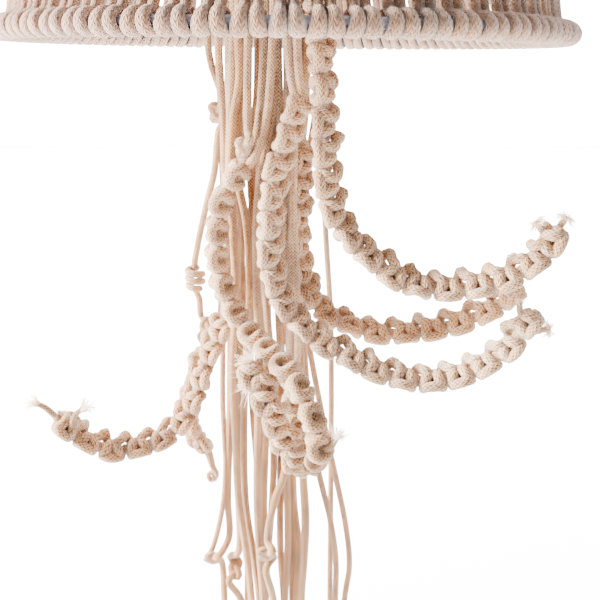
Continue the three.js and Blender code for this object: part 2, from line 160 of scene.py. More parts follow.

# Straight cords. at: x, y and height of each place a cord passes, from the hoop down to its end. knots
# are worked in the cord: a kind, a height, a size and a turn about the cord in degrees. shade goes from
# 0, painted warm dark shade for the cords deep in the bundle, to 1 for the palest, lit cords. slim is
# the share of the full width, where it isn't that of most cords.
CORDS = [
    # Far left
    {"shade": 0.52, "slim": 0.8, "at": [[-44, 8, -1], [-43, 9, -17], [-40, 10, -38], [-39, 11, -55],
     [-43, 13, -81], [-48, 17, -98], [-56, 23, -129], [-58, 24, -149], [-56, 24, -162], [-53, 25, -181],
     [-52, 24, -195]],
     "knots": [["overhand", -46, 0.95, 0], ["wrapped", -149, 1.0, 0], ["overhand", -181, 0.8, 180]]},
    # Left
    {"shade": 0.6, "at": [[-37, -2, -2], [-37, 1, -25], [-36, 3, -45], [-36, 5, -84], [-35, 11, -140],
     [-37, 13, -227], [-40, 11, -298], [-40, 9, -326], [-50, 7, -338], [-50, 7, -346], [-44, 8, -374],
     [-46, 8, -427]],
     "knots": [["overhand", -340, 1.0, 0]]},
    # Left, second
    {"shade": 0.38, "slim": 0.7, "at": [[-38, 9, -1], [-38, 11, -56], [-39, 17, -142], [-42, 15, -228],
     [-41, 11, -276], [-44, 9, -305], [-51, 8, -333], [-56, 7, -342]]},
    # Left, third
    {"shade": 0.56, "at": [[-28, 6, -1], [-30, 6, -96], [-30, 4, -157], [-32, 2, -222], [-32, 0, -292],
     [-33, 0, -331], [-36, 1, -344], [-32, 1, -369], [-33, 1, -414]],
     "knots": [["overhand", -344, 0.85, 180]]},
    # Dark left
    {"shade": 0.3, "at": [[-25, -16, -2], [-25, -15, -26], [-29, -14, -48], [-31, -13, -79],
     [-30, -12, -153], [-33, -12, -197], [-32, -12, -243], [-31, -12, -285], [-27, -12, -321],
     [-24, -12, -359], [-24, -12, -439]]},
    # Inner left
    {"shade": 0.19, "at": [[-23.5, -6, -2], [-24.5, -7, -30], [-28.5, -8, -57], [-28, -8, -79],
     [-23, -8, -108], [-22, -8, -154], [-26, -7, -209], [-27, -6, -289], [-22, -6, -333], [-19, -6, -364],
     [-18, -6, -424]]},
    # Front left
    {"shade": 0.52, "at": [[-4, -15, -2], [-5, -16, -27], [-10, -18, -59], [-16, -20, -95],
     [-17, -20, -150], [-16, -19, -178], [-18, -18, -240], [-19, -18, -282], [-18, -18, -318],
     [-16, -18, -355], [-17, -18, -457]]},
    # Front middle
    {"shade": 0.56, "at": [[-12, -9, -2], [-13, -10, -49], [-15, -12, -82], [-13, -14, -134],
     [-8, -12, -203], [-1, -16, -252], [-2, -22, -263], [-7, -27, -275], [-12, -30, -303],
     [-13, -29, -323], [-9, -26, -349], [-7, -22, -430]],
     "knots": [["overhand", -313, 1.1, 0]]},
    # Middle
    {"shade": 0.22, "at": [[-8, -3, -2], [-9, -6, -66], [-13, -8, -129], [-13, -10, -231],
     [-15, -10, -286], [-15, -10, -361], [-14, -10, -441]]},
    # Middle right
    {"shade": 0.38, "at": [[-6, -9, -2], [-5, -9, -46], [-5, -9, -88], [-5, -7, -154], [-1, -6, -260],
     [0, -6, -318], [-2, -6, -364], [-3, -6, -453]]},
    # Middle right, behind
    {"shade": 0.09, "at": [[2, 1, -2], [2, 2, -44], [-1, 4, -84], [-1, 6, -152], [3, 2, -222],
     [3, 0, -263], [3, -2, -343], [2, -2, -425]]},
    # Right of middle
    {"shade": 0.15, "at": [[4, 8, -1], [4, 9, -50], [2, 10, -97], [2, 11, -159], [3, 6, -224],
     [4, 0, -292], [7, -3, -324], [5, -4, -365], [5, -4, -438]]},
    # Right
    {"shade": 0.38, "at": [[12, -16, -2], [11, -4, -43], [7, 10, -85], [6, 13, -128], [7, 14, -167],
     [10, 4, -223], [10, -6, -264], [12, -12, -299], [11, -14, -324], [9, -14, -358], [9, -14, -433]]},
    # Right, swinging out
    {"shade": 0.49, "slim": 0.8, "at": [[17, -7, -2], [17, 4, -44], [9, 15, -92], [7, 18, -142],
     [10, 19, -185], [16, 8, -253], [21, 4, -278], [28, 2, -308], [32, 2, -338], [32, 2, -369],
     [32, 2, -449]]},
    # Far right
    {"shade": 0.56, "slim": 0.8, "at": [[19, 4, -1], [19, 14, -45], [10, 21, -96], [9, 24, -150],
     [14, 24, -194], [26, 17, -257], [33, 15, -289], [39, 15, -320], [42, 15, -351], [39, 15, -379],
     [39, 15, -449]]},
    # Pale right
    {"shade": 0.75, "slim": 0.75, "at": [[16, 20, -1], [19, 27, -45], [22, 32, -88], [25, 34, -133],
     [28, 33, -179], [29, 26, -292], [29, 21, -383], [29, 20, -420]]},
    # Behind, left
    {"shade": 0.64, "slim": 0.8, "at": [[-27, 13, -1], [-28, 14, -56], [-28, 15, -105], [-28, 15, -161],
     [-31, 14, -228], [-29, 13, -299], [-28, 13, -346], [-31, 13, -445]]},
    # Behind, inner left
    {"shade": 0.11, "at": [[-15.5, 9, -1], [-17, 9, -39], [-21, 8, -67], [-20, 8, -115], [-20, 7, -158],
     [-17, 6, -224], [-17, 6, -295], [-18, 6, -413]]},
    # Behind, middle
    {"shade": 0.04, "at": [[-11, 8, -1], [-12, 6, -96], [-11, 4, -223], [-9, 4, -262], [-10, 3, -290],
     [-15, 3, -360], [-15, 3, -450]]},
    # Behind, right
    {"shade": 0.08, "at": [[1, 15, -1], [0, 16, -45], [-3, 15, -98], [-4, 12, -227], [-5, 2, -301],
     [-5, 2, -331], [-3, 4, -371], [-3, 6, -420]]},
    # Back, left
    {"shade": 0.08, "at": [[-14, 19, -1], [-21, 18, -98], [-24, 17, -150], [-23, 16, -228],
     [-19, 15, -301], [-16, 15, -437]]},
    # Back, right
    {"shade": 0.22, "at": [[7, 21, -1], [7, 23, -69], [5, 25, -164], [8, 19, -258], [11, 16, -316],
     [9, 16, -380], [8, 16, -414]]},
]
CORD_SLIM = 0.9
CORD_STEP = 1.6
BUNDLE_TOP = BELL_HEIGHT + 3
BUNDLE_TOP_RADIUS = 21.0
BUNDLE_TOP_SPACING = 5.6
PACKING_ROUNDS = 200

# Knots worked in one cord: the overhand knot's shape along the cord and across it both ways, and the
# knot of wraps round the cord itself. Within the knot's room the cord's own places are left out.
OVERHAND_SPAN = 2.05
OVERHAND_STEPS = 27
OVERHAND_HEIGHT = 2.5
OVERHAND_WIDTH = 1.6
OVERHAND_SHIFT = 2.4
OVERHAND_DEPTH = 0.45
WRAPPED_TURNS = 3.2
WRAPPED_STEPS = 40
WRAPPED_REACH = 4.6
WRAPPED_LEAD = 8
WRAPPED_HEIGHT = 15.0
KNOT_ROOM = 3.0

# Arms of three cords each. feed: x and y where each cord passes the feed height. feed_knot: a knot in the
# first cord above its row. line: the middle of the row of knots. thin: the way its flat face looks. loops:
# on which side of it the bigger loops stand. ends: the places each cord passes below the last knot, and
# how its end is opened.
# An arm's shade paints warm shade as a straight cord's does: the lower, the warmer and darker.
ARMS = [
    {
        "name": "arm_a", "thin": [0, 1, 0], "loops": -1, "feed_height": 60,
        "feed": [[12, -31], [18, -30], [15, -25]],
        "line": [[15, -38, 14], [17, -44, -10], [19, -49, -38], [20, -52, -66], [23, -53, -88],
                 [31, -54, -104], [46, -56, -118], [66, -58, -131], [92, -62, -132], [117, -65, -125],
                 [133, -66, -114], [137, -67, -105]],
        "shade": 0.8,
        "ends": [
            {"fray": "ball", "route": [[138, -67, -101], [141, -67, -96], [143, -67, -92]]},
            {"fray": "ball", "route": [[134, -66, -103], [131, -66, -99], [128, -66, -95]]},
            {"fray": "short", "route": [[137, -65, -102], [139, -65, -99]]},
        ],
    },
    {
        "name": "arm_b", "thin": [0, 1, 0], "loops": -1, "feed_height": 0,
        "feed": [[1, -27], [6, -28], [3, -21]],
        "line": [[5, -30, -42], [0, -31, -56], [-7, -32, -78], [-10, -36, -106], [-8, -38, -133],
                 [3, -40, -154], [22, -44, -169], [50, -50, -183], [76, -54, -188], [100, -57, -182],
                 [119, -59, -168], [130, -60, -152]],
        "shade": 0.9,
        "ends": [
            {"fray": "short", "route": [[129, -60, -152], [125, -61, -145], [124, -62, -139]]},
            {"fray": "ball", "route": [[134, -60, -156], [138, -60, -155], [142, -60, -155]]},
            {"fray": "short", "route": [[127, -58, -158], [124, -57, -156]]},
        ],
    },
    {
        "name": "arm_c", "thin": [0, 1, 0], "loops": -1, "feed_height": 0,
        "feed": [[5, -13], [11, -11], [7, -6]],
        "line": [[8, -8, -71], [6, -8, -92], [6, -8, -119], [10, -8, -143], [19, -9, -159],
                 [35, -12, -168], [57, -16, -173], [79, -20, -170], [101, -24, -163], [118, -27, -155],
                 [128, -28, -146]],
        "shade": 0.6,
        "ends": [
            {"fray": "short", "route": [[124, -28, -149], [127, -28, -144]]},
            {"fray": "brush", "route": [[122, -29, -151], [124, -30, -146]]},
            {"fray": "short", "route": [[126, -27, -153], [129, -26, -150]]},
        ],
    },
    {
        "name": "arm_d", "thin": [0.7, 0.7, 0], "loops": 1, "feed_height": -52,
        "feed": [[-20, -28], [-11, -27], [-15, -21]], "feed_knot": ["overhand", -62, 0.8, 0],
        "line": [[-26, -27, -78], [-34, -26, -91], [-38, -25, -112], [-37, -27, -132], [-29, -32, -152],
                 [-17, -44, -165], [-6, -58, -170], [3, -72, -175], [11, -84, -184], [17, -93, -197],
                 [19, -95, -207]],
        "shade": 0.8,
        "ends": [
            {"fray": "short", "route": [[21, -94, -212], [20, -94, -218], [16, -94, -220], [12, -94, -217],
                                        [13, -94, -212], [17, -95, -210]]},
            {"fray": "brush", "route": [[20, -97, -208], [24, -98, -205], [26, -98, -201]]},
            {"fray": "short", "route": [[16, -92, -210], [15, -91, -214]]},
        ],
    },
    {
        "name": "arm_e", "thin": [0, 1, 0], "loops": 1, "feed_height": 0,
        "feed": [[-28, -13], [-31, -7], [-26, -7]],
        "line": [[-40, 2, -175], [-45, 0, -186], [-51, -2, -198], [-54, -4, -212], [-62, -7, -229],
                 [-73, -10, -241], [-85, -13, -246], [-98, -16, -248], [-111, -18, -247],
                 [-123, -20, -241], [-134, -21, -231]],
        "shade": 0.85,
        "ends": [
            {"fray": "brush", "route": [[-140, -21, -223], [-146, -21, -217], [-150, -21, -215]]},
            {"fray": "brush", "route": [[-135, -22, -226], [-130, -24, -220], [-125, -24, -225],
                                        [-129, -24, -229], [-127, -25, -221], [-122, -24, -217]]},
            {"fray": "short", "route": [[-138, -20, -227], [-136, -20, -221]]},
        ],
    },
    {
        "name": "arm_f", "thin": [0, 1, 0], "loops": 1, "feed_height": 0,
        "feed": [[-32, 17], [-26, 21], [-21, 17]],
        "line": [[-44, 32, -186], [-51, 36, -203], [-60, 42, -226], [-67, 47, -248], [-67, 51, -265],
                 [-61, 54, -277]],
        "shade": 1.0,
        "ends": [
            {"fray": "short", "route": [[-58, 55, -286], [-55, 56, -297], [-52, 57, -304], [-56, 57, -309],
                                        [-58, 57, -304], [-54, 57, -302]]},
            {"fray": "short", "route": [[-58, 56, -285], [-55, 57, -296], [-54, 57, -308]]},
            {"fray": "short", "route": [[-57, 56, -284], [-54, 58, -300]]},
        ],
    },
    {
        "name": "arm_g", "thin": [0.75, 0.66, 0], "loops": 1, "feed_height": 0,
        "feed": [[6, -20], [1, -16], [-4, -16]],
        "line": [[4, -16, -200], [5, -20, -217], [8, -31, -234], [10, -45, -241], [7, -59, -234],
                 [0, -67, -217], [-5, -71, -203], [-11, -71, -189], [-17, -68, -178]],
        "shade": 0.95,
        "ends": [
            {"fray": "brush", "route": [[-15, -68, -174], [-18, -68, -171]]},
            {"fray": "brush", "route": [[-16, -68, -177], [-18, -68, -177]]},
            {"fray": "brush", "route": [[-15, -69, -179], [-18, -69, -183]]},
        ],
    },
]
ARM_CORDS = 3
FEED_ENDS = [[-1.8, -0.9], [1.8, -0.9], [0, 1.8]]
FEED_LEAD = 8.0
ROW_STEP = 0.5
ARM_STEP = 1.5
ARM_SIDES = 9
ARM_SHADE_SPREAD = 0.1

# An arm's cord is thick in its knots, and thinner above and below them. The tapers are the lengths
# before and after the first and the last knot in which it changes.
KNOT_PITCH = 15.8
KNOT_CORD_WIDTH = 5.9
FEED_SLIM = 0.9
FEED_TAPER = 5
TAIL_WIDTH = 4.2
TAIL_SLIM = 0.8
TAIL_TAPER_BEFORE = 4
TAIL_TAPER_AFTER = 3

# One square knot of an arm, about its middle: across is towards the side where the loops stand, out is
# towards the back and along is down the row. The roll turns the knot about the row. The front cord
# crosses twice in front of the core, the back cord twice behind it, and between two knots the back cord
# stands out in a loop.
FRONT_CORD = [
    {"across": 0.6, "out": -1.8, "along": -7.0},
    {"across": -2.8, "out": -2.2, "along": -4.9},
    {"across": -0.2, "out": -4.9, "along": -3.6},
    {"across": 3.2, "out": -3.6, "along": -2.0},
    {"across": 4.0, "out": -1.2, "along": 0.4},
    {"across": 3.0, "out": -3.6, "along": 2.6},
    {"across": -0.2, "out": -4.9, "along": 3.9},
    {"across": -2.8, "out": -2.2, "along": 5.2},
    {"across": 0.6, "out": -1.8, "along": 7.0},
]
BACK_CORD = [
    {"across": 6.4, "out": -2.6, "along": -5.8},
    {"across": 4.6, "out": -4.8, "along": -3.0},
    {"across": 3.2, "out": 0.2, "along": -1.0},
    {"across": 0.0, "out": 3.6, "along": -2.6},
    {"across": -3.2, "out": 0.6, "along": -4.9},
    {"across": -4.4, "out": -3.6, "along": -3.4},
    {"across": -4.9, "out": -4.8, "along": 0.4},
    {"across": -4.4, "out": -3.6, "along": 4.0},
    {"across": -3.2, "out": 0.6, "along": 5.2},
    {"across": 0.0, "out": 3.6, "along": 3.0},
    {"across": 4.0, "out": 3.2, "along": 3.6},
    {"across": 6.6, "out": 2.4, "along": 5.6},
]
CORE_SIDE = 0.3
SIDE_LOOP_REACH = 9.2
SIDE_LOOP_OUT = -0.4
KNOT_ROLL = 0.62

# How unlike the knots of a row are: turn, place and size, and the reach and sway of the loops
KNOT_TURN = 0.3
KNOT_SHIFT = 0.6
KNOT_SIZES = (0.94, 1.06)
SIDE_LOOP_SIZES = (0.84, 1.14)
SIDE_LOOP_SWAY = 1.5

# Opened cord ends: number, length and width of the fibres, how wide they spread in radians, and the
# share of long stray ones. The fray's side is a direction that no cord end follows. A fibre starts a
# root's depth inside the cord end, and bends and curls a little.
FRAYS = {
    "ball": {"fibres": 130, "length": 5.2, "width": 0.4, "spread": 2.3, "stray": 0.05},
    "brush": {"fibres": 80, "length": 9.5, "width": 0.4, "spread": 0.85, "stray": 0.08},
    "short": {"fibres": 45, "length": 4.0, "width": 0.4, "spread": 0.9, "stray": 0.04},
}
FRAY_SIDE = (0.3, 0.9, 0.2)
FIBRE_LENGTHS = (0.6, 1.0)
FIBRE_STRAY = 1.7
FIBRE_ROOT_DEPTH = 1.5
FIBRE_ROOT_SPREAD = 1.8
FIBRE_BEND = 0.55
FIBRE_BEND_ALONG = 0.35
FIBRE_CURL = 0.16
FIBRE_TIP = 0.5
FIBRE_SIDES = 3
FIBRE_SHADES = (0.4, 1.0)

# Yarn: noise as repeats a metre, the parts of it that show as flecks and as worn patches, the relief in
# metres, and the depths below the hoop between which painted shade turns the cords darker and warmer,
# in metres
FUZZ_SCALE = 750.0
LUMP_SCALE = 400.0
PATCH_SCALE = 60.0
FLECK_RANGE = (0.38, 0.56)
WORN_RANGE = (0.35, 0.6)
COTTON_RELIEF = 0.0009
LOW_SHADE_FROM = 0.15
LOW_SHADE_TO = 0.26

# Ring paint and floor, in the same way
RING_SCALE = 60.0
RING_RELIEF = 0.0002
FLOOR_SCALE = 3.0

# Stage, in metres and degrees. The bright band of the room fades between two shares of a direction's
# way to the back, up or down, and sideways. The side lamp looks at a place below the hoop.
FLOOR_HALF = 5.0
FLOOR_LAMP = {"width": 6.0, "height": 5.0, "place": (0, 2.8, 0.7)}
FLOOR_LAMP_SPREAD = 110
SIDE_LAMP = {"width": 0.6, "height": 0.9, "place": (-1.9, -0.1, 0.15)}
SIDE_LAMP_DROP = 0.15
BAND_BEHIND = (-0.15, 0.2)
BAND_LEVEL = (0.4, 0.15)
BAND_MIDDLE = (0.75, 0.4)

# Camera, in millimetres from the middle of the hoop, and its dip below level in degrees
CAMERA_PLACE = Vector((8.0, -484.0, -13.7))
CAMERA_DIP = 16.4

# Sockets of the Mix node for colours, by number, because several share a name
MIX_FACTOR, MIX_FIRST, MIX_SECOND, MIX_RESULT = 0, 6, 7, 2

# Lines and tubes. The least steps keep a sum from dividing by nothing. A tube's first side is taken from
# Y, or from X where the tube starts nearly along Y.
SMOOTH_STEPS = 12
SHORTEST_STEP = 1e-4
TINY = 1e-9
NEARLY_ALONG = 0.8
CORD_SIDES = 10
RANDOM_SEED = 7


class MacrameCord(bpy.types.PropertyGroup):
    width: FloatProperty(
        name="Cord width", description="Width of the braided cord",
        default=5.2 * MM, min=0.002, unit="LENGTH")
    braid_pitch: FloatProperty(
        name="Braid pitch", description="Length of one stitch of the braid",
        default=2.0 * MM, min=0.0005, unit="LENGTH")
    braid_columns: IntProperty(
        name="Braid columns", description="Number of herringbone columns round the cord",
        default=8, min=2)
    light: FloatVectorProperty(
        name="Light yarn", description="Colour of the raised yarn of a pale cord",
        default=(1.0, 0.66, 0.36), size=3, subtype="COLOR")
    # The deep colours are painted shade in the hollows between the stitches.
    deep: FloatVectorProperty(
        name="Deep yarn", description="Colour between the stitches of a pale cord",
        default=(0.17, 0.05, 0.011), size=3, subtype="COLOR")
    # The warm colours are painted shade: the warm dark of the cords deep in the bundle.
    inner_shade_light: FloatVectorProperty(
        name="Warm light yarn", description="Colour of the raised yarn of a warm cord",
        default=(1.0, 0.43, 0.08), size=3, subtype="COLOR")
    inner_shade_deep: FloatVectorProperty(
        name="Warm deep yarn", description="Colour between the stitches of a warm cord",
        default=(0.09, 0.022, 0.003), size=3, subtype="COLOR")
    # These colours are painted shade of the bell over the cords on the ring, darker and duller.
    bell_shaded: FloatVectorProperty(
        name="Bell shaded yarn", description="Colour of the raised yarn of the cords on the ring",
        default=(0.46, 0.255, 0.16), size=3, subtype="COLOR")
    bell_shaded_deep: FloatVectorProperty(
        name="Deep dusty yarn", description="Colour between the stitches of the cords on the ring",
        default=(0.17, 0.085, 0.05), size=3, subtype="COLOR")
    ring: FloatVectorProperty(
        name="Ring paint", description="Colour of the painted steel ring",
        default=(0.36, 0.32, 0.37), size=3, subtype="COLOR")


class MacrameStage(bpy.types.PropertyGroup):
    floor_drop: FloatProperty(
        name="Floor drop", description="Height of the lowest cord end above the floor",
        default=0.12, min=0.0, unit="LENGTH")
    back_light: FloatProperty(
        name="Back light", description="Strength of the bright band behind the hanging",
        default=26.0, min=0.0)
    room_light: FloatProperty(
        name="Room light", description="Strength of the even light of the room",
        default=0.62, min=0.0)
    side_light: FloatProperty(
        name="Side light", description="Power of the small lamp at the left",
        default=600.0, min=0.0, subtype="POWER")
    floor_light: FloatProperty(
        name="Floor light", description="Power of the large lamp over the floor behind",
        default=2200.0, min=0.0, subtype="POWER")
    floor_colour: FloatVectorProperty(
        name="Floor", description="Colour of the plain floor",
        default=(0.9, 0.9, 0.9), size=3, subtype="COLOR")


def unit_rows(rows):
    """The rows' directions, each at a length of one."""
    return rows / np.maximum(np.linalg.norm(rows, axis=-1, keepdims=True), TINY)


def turned(side, out, angle):
    """A place given by its side and out parts, turned by an angle."""
    return (
        side * math.cos(angle) - out * math.sin(angle),
        side * math.sin(angle) + out * math.cos(angle),
    )


def between(first, second, start, stop, t):
    """The place at t on the way from first, at start, to second, at stop."""
    return (stop - t) / (stop - start) * first + (t - start) / (stop - start) * second


def smooth_line(points):
    """A centripetal spline through points, as many close steps."""
    rows = np.array(points, float)
    rows = np.vstack([2 * rows[0] - rows[1], rows, 2 * rows[-1] - rows[-2]])
    pieces = []
    for four in zip(rows, rows[1:], rows[2:], rows[3:]):
        times = [0.0]
        for before, after in zip(four, four[1:]):
            times.append(times[-1] + max(math.sqrt(np.linalg.norm(after - before)), SHORTEST_STEP))
        t = np.linspace(times[1], times[2], SMOOTH_STEPS, endpoint=False)[:, None]
        three = [between(*pair, t) for pair in zip(four, four[1:], times, times[1:])]
        two = [between(*pair, t) for pair in zip(three, three[1:], times, times[2:])]
        pieces.append(between(*two, times[1], times[2], t))
    return np.vstack([*pieces, rows[-2]])


def lengths_along(line):
    """The length of the line up to each of its places."""
    return np.concatenate([[0.0], np.cumsum(np.linalg.norm(np.diff(line[:, :3], axis=0), axis=1))])


def even_line(line, step):
    """The same line, with rings at even steps. Extra columns are carried along."""
    run = lengths_along(line)
    count = max(2, round(run[-1] / step) + 1)
    wanted = np.linspace(0, run[-1], count)
    return np.column_stack([np.interp(wanted, run, column) for column in line.T])


def directions(line):
    """The way that the line runs at each of its places."""
    return unit_rows(np.gradient(line[:, :3], axis=0))


def carried_sides(along):
    """A direction across the line at each ring, carried along it without twist."""
    start = np.array([0.0, 1.0, 0.0] if abs(along[0][1]) < NEARLY_ALONG else [1.0, 0.0, 0.0])
    across = start - along[0] * start.dot(along[0])
    sides = []
    for direction in along:
        across = across - direction * across.dot(direction)
        across = across / max(np.linalg.norm(across), TINY)
        sides.append(across)
    return np.array(sides)


class Strands:
    """Strands that are joined in one mesh. Each has a UV map, with turns round it and metres along it."""

    def __init__(self):
        self.points = []
        self.faces = []
        self.uvs = []
        self.shades = []
        self.count = 0

    def add(self, line, wide, deep=None, flat=None, sides=CORD_SIDES, shade=0.5):
        """A closed tube on line. flat is the way its thin side looks, or None for a round one."""
        line = np.asarray(line, float)[:, :3]
        rings = len(line)
        wide = np.broadcast_to(wide, rings)
        deep = wide if deep is None else np.broadcast_to(deep, rings)
        along = directions(line)
        if flat is None:
            across = carried_sides(along)
        else:
            across = unit_rows(np.cross(np.broadcast_to(flat, (rings, 3)), along))
        through = np.cross(along, across)
        angles = np.arange(sides) * 2 * math.pi / sides
        cos, sin = np.cos(angles), np.sin(angles)
        ring_points = (
            line[:, None, :]
            + across[:, None, :] * (wide[:, None] / 2 * cos)[:, :, None]
            + through[:, None, :] * (deep[:, None] / 2 * sin)[:, :, None]
        )
        self.points.append(ring_points.reshape(-1, 3))
        run = lengths_along(line) * MM
        base = self.count
        for ring in range(rings - 1):
            low = base + ring * sides
            high = low + sides
            for side in range(sides):
                after = (side + 1) % sides
                self.faces.append((low + side, low + after, high + after, high + side))
                self.uvs.extend((
                    side / sides, run[ring], (side + 1) / sides, run[ring],
                    (side + 1) / sides, run[ring + 1], side / sides, run[ring + 1],
                ))
        last = base + (rings - 1) * sides
        around = range(sides)
        for corner, order, end in ((base, around[::-1], run[0]), (last, around, run[-1])):
            self.faces.append(tuple(corner + side for side in order))
            for side in order:
                self.uvs.extend((side / sides, end))
        self.shades.extend([shade] * (rings * sides))
        self.count += rings * sides

    def make(self, name, material):
        """The strands as one mesh object, in metres."""
        mesh = bpy.data.meshes.new(name)
        points = np.vstack(self.points) * MM + np.array(HOOP_MIDDLE)
        mesh.from_pydata(points.tolist(), [], self.faces)
        uv_map = mesh.uv_layers.new(name="UVMap")
        uv_map.data.foreach_set("uv", np.array(self.uvs, np.float32))
        shade = mesh.attributes.new("strand_shade", "FLOAT", "POINT")
        shade.data.foreach_set("value", np.array(self.shades, np.float32))
        mesh.shade_smooth()
        mesh.materials.append(material)
        piece = bpy.data.objects.new(name, mesh)
        bpy.context.scene.collection.objects.link(piece)
        return piece


class Val:
    """A socket that can be used in sums. An expression adds its Math nodes."""

    def __init__(self, tree, socket):
        self.tree = tree
        self.socket = socket

    def math(self, operation, *others):
        node = self.tree.nodes.new("ShaderNodeMath")
        node.operation = operation
        for slot, value in zip(node.inputs, (self, *others)):
            if isinstance(value, Val):
                self.tree.links.new(value.socket, slot)
            else:
                slot.default_value = value
        return Val(self.tree, node.outputs[0])

    def __add__(self, other):
        return self.math("ADD", other)

    def __radd__(self, other):
        return self.math("ADD", other)

    def __mul__(self, other):
        return self.math("MULTIPLY", other)

    def __rmul__(self, other):
        return self.math("MULTIPLY", other)

    def __sub__(self, other):
        return self.math("SUBTRACT", other)

    def __rsub__(self, other):
        return (self * -1.0).math("ADD", other)

    def __truediv__(self, other):
        return self.math("DIVIDE", other)


class Shader:
    """A material's node tree, and the ways to add to it."""

    def __init__(self, name="", world=None):
        if world:
            self.tree = world.node_tree
        else:
            self.material = bpy.data.materials.new(name)
            self.material.use_nodes = True
            self.tree = self.material.node_tree
            self.surface = self.tree.nodes["Principled BSDF"]

    def node(self, kind, settings=None, values=None, output=0):
        """Adds a node, sets its settings first, then its sockets' values or links."""
        made = self.tree.nodes.new(kind)
        for key, value in (settings or {}).items():
            setattr(made, key, value)
        for key, value in (values or {}).items():
            if isinstance(value, Val):
                self.tree.links.new(value.socket, made.inputs[key])
            else:
                made.inputs[key].default_value = value
        return Val(self.tree, made.outputs[output])

    def split(self, vector):
        """The three parts of a vector."""
        first = self.node("ShaderNodeSeparateXYZ", {}, {"Vector": vector})
        return [Val(self.tree, socket) for socket in first.socket.node.outputs]

    def noise(self, place, scale, detail):
        return self.node("ShaderNodeTexNoise", {}, {"Vector": place, "Scale": scale, "Detail": detail})

    def bump(self, height, strength, distance):
        values = {"Height": height, "Strength": strength, "Distance": distance}
        return self.node("ShaderNodeBump", {}, values)

    def ramp(self, value, low, high):
        """A smooth step from 0 at low to 1 at high."""
        return self.node(
            "ShaderNodeMapRange", {"interpolation_type": "SMOOTHSTEP"},
            {"Value": value, "From Min": low, "From Max": high})

    def mix(self, factor, first, second):
        """A colour between first and second."""
        values = {MIX_FACTOR: factor}
        for key, colour in ((MIX_FIRST, first), (MIX_SECOND, second)):
            values[key] = colour if isinstance(colour, Val) else (*colour, 1)
        return self.node("ShaderNodeMix", {"data_type": "RGBA"}, values, MIX_RESULT)

    def set(self, **values):
        """Links or sets the surface's sockets, named with _ for a space."""
        for key, value in values.items():
            socket = self.surface.inputs[key.replace("_", " ")]
            if isinstance(value, Val):
                self.tree.links.new(value.socket, socket)
            else:
                socket.default_value = value


def cotton():
    """Braided cotton: herringbone columns on the strand's own UV map, in the shade of each strand. The deep
    yarn between the stitches is painted shade, and so are the warm colours of a low shade.
    """
    found = bpy.data.materials.get("braided_cotton")
    if found:
        return found
    cord = bpy.context.scene.macrame_cord
    shader = Shader("braided_cotton")
    uv = shader.node("ShaderNodeUVMap", {"uv_map": "UVMap"})
    turn, run, _ = shader.split(uv)
    place = shader.node("ShaderNodeTexCoord", output="Object")
    _, _, level = shader.split(place)
    strand = shader.node("ShaderNodeAttribute", {"attribute_name": "strand_shade"}, output="Fac")
    fuzz = shader.noise(place, FUZZ_SCALE, 2.0)
    lumps = shader.noise(place, LUMP_SCALE, 1.0)
    patch = shader.noise(place, PATCH_SCALE, 2.0)
    # The braid: slant goes from 0 in the middle of a column to 1 at its edges, phase along a stitch
    column = (turn * cord.braid_columns).math("FRACT")
    slant = (column - 0.5).math("ABSOLUTE") * 2.0
    phase = (run / cord.braid_pitch + slant + lumps * 0.3).math("FRACT")
    stitch = 1.0 - ((phase - 0.5).math("ABSOLUTE") * 2.0).math("POWER", 2.0)
    edge = 1.0 - ((slant - 0.5).math("ABSOLUTE") * 2.0).math("POWER", 4.0)
    # Raised and worn yarn is light, and the low cords are warmer. The weights were set.
    flecks = shader.ramp(fuzz, *FLECK_RANGE)
    worn = shader.ramp(patch, *WORN_RANGE)
    # Painted shade: the low cords turn darker and warmer.
    low = shader.ramp(level, HOOP_MIDDLE.z - LOW_SHADE_FROM, HOOP_MIDDLE.z - LOW_SHADE_TO)
    # Raised yarn is light and the yarn between the stitches deep: painted shade in the braid's hollows.
    tone = stitch * 1.1 + edge * 0.25 + flecks * 0.2 + worn * 0.2 - 0.8 - low * 0.1
    # A low strand shade paints the warm shade of cords deep in the bundle.
    paleness = strand * (1.0 - low * 0.6)
    deep = shader.mix(paleness, tuple(cord.inner_shade_deep), tuple(cord.deep))
    light = shader.mix(paleness, tuple(cord.inner_shade_light), tuple(cord.light))
    yarn = shader.mix(tone.math("MAXIMUM", 0.0).math("MINIMUM", 1.0), deep, light)
    # The cords on the ring: their colours are painted shade of the bell, deep between the stitches.
    soft = stitch * 0.3 + flecks * 0.35 + worn * 0.35
    bell_shaded = shader.mix(soft, tuple(cord.bell_shaded_deep), tuple(cord.bell_shaded))
    relief = stitch * 0.6 + edge * 0.4 + fuzz * 0.7 + lumps * 0.4
    shader.set(
        Base_Color=shader.mix(strand * -1.0, yarn, bell_shaded), Roughness=0.9, Specular_IOR_Level=0.2,
        Sheen_Weight=0.6, Sheen_Roughness=0.45, Normal=shader.bump(relief, 1.0, COTTON_RELIEF))
    return shader.material


def loose_yarn():
    """Teased-out cotton fibre, paler than the braid."""
    found = bpy.data.materials.get("loose_yarn")
    if found:
        return found
    cord = bpy.context.scene.macrame_cord
    shader = Shader("loose_yarn")
    strand = shader.node("ShaderNodeAttribute", {"attribute_name": "strand_shade"}, output="Fac")
    pale = tuple(0.45 + 0.55 * part for part in cord.light)
    colour = shader.mix(strand, tuple(cord.light), pale)
    shader.set(Base_Color=colour, Roughness=0.85, Sheen_Weight=0.4)
    return shader.material


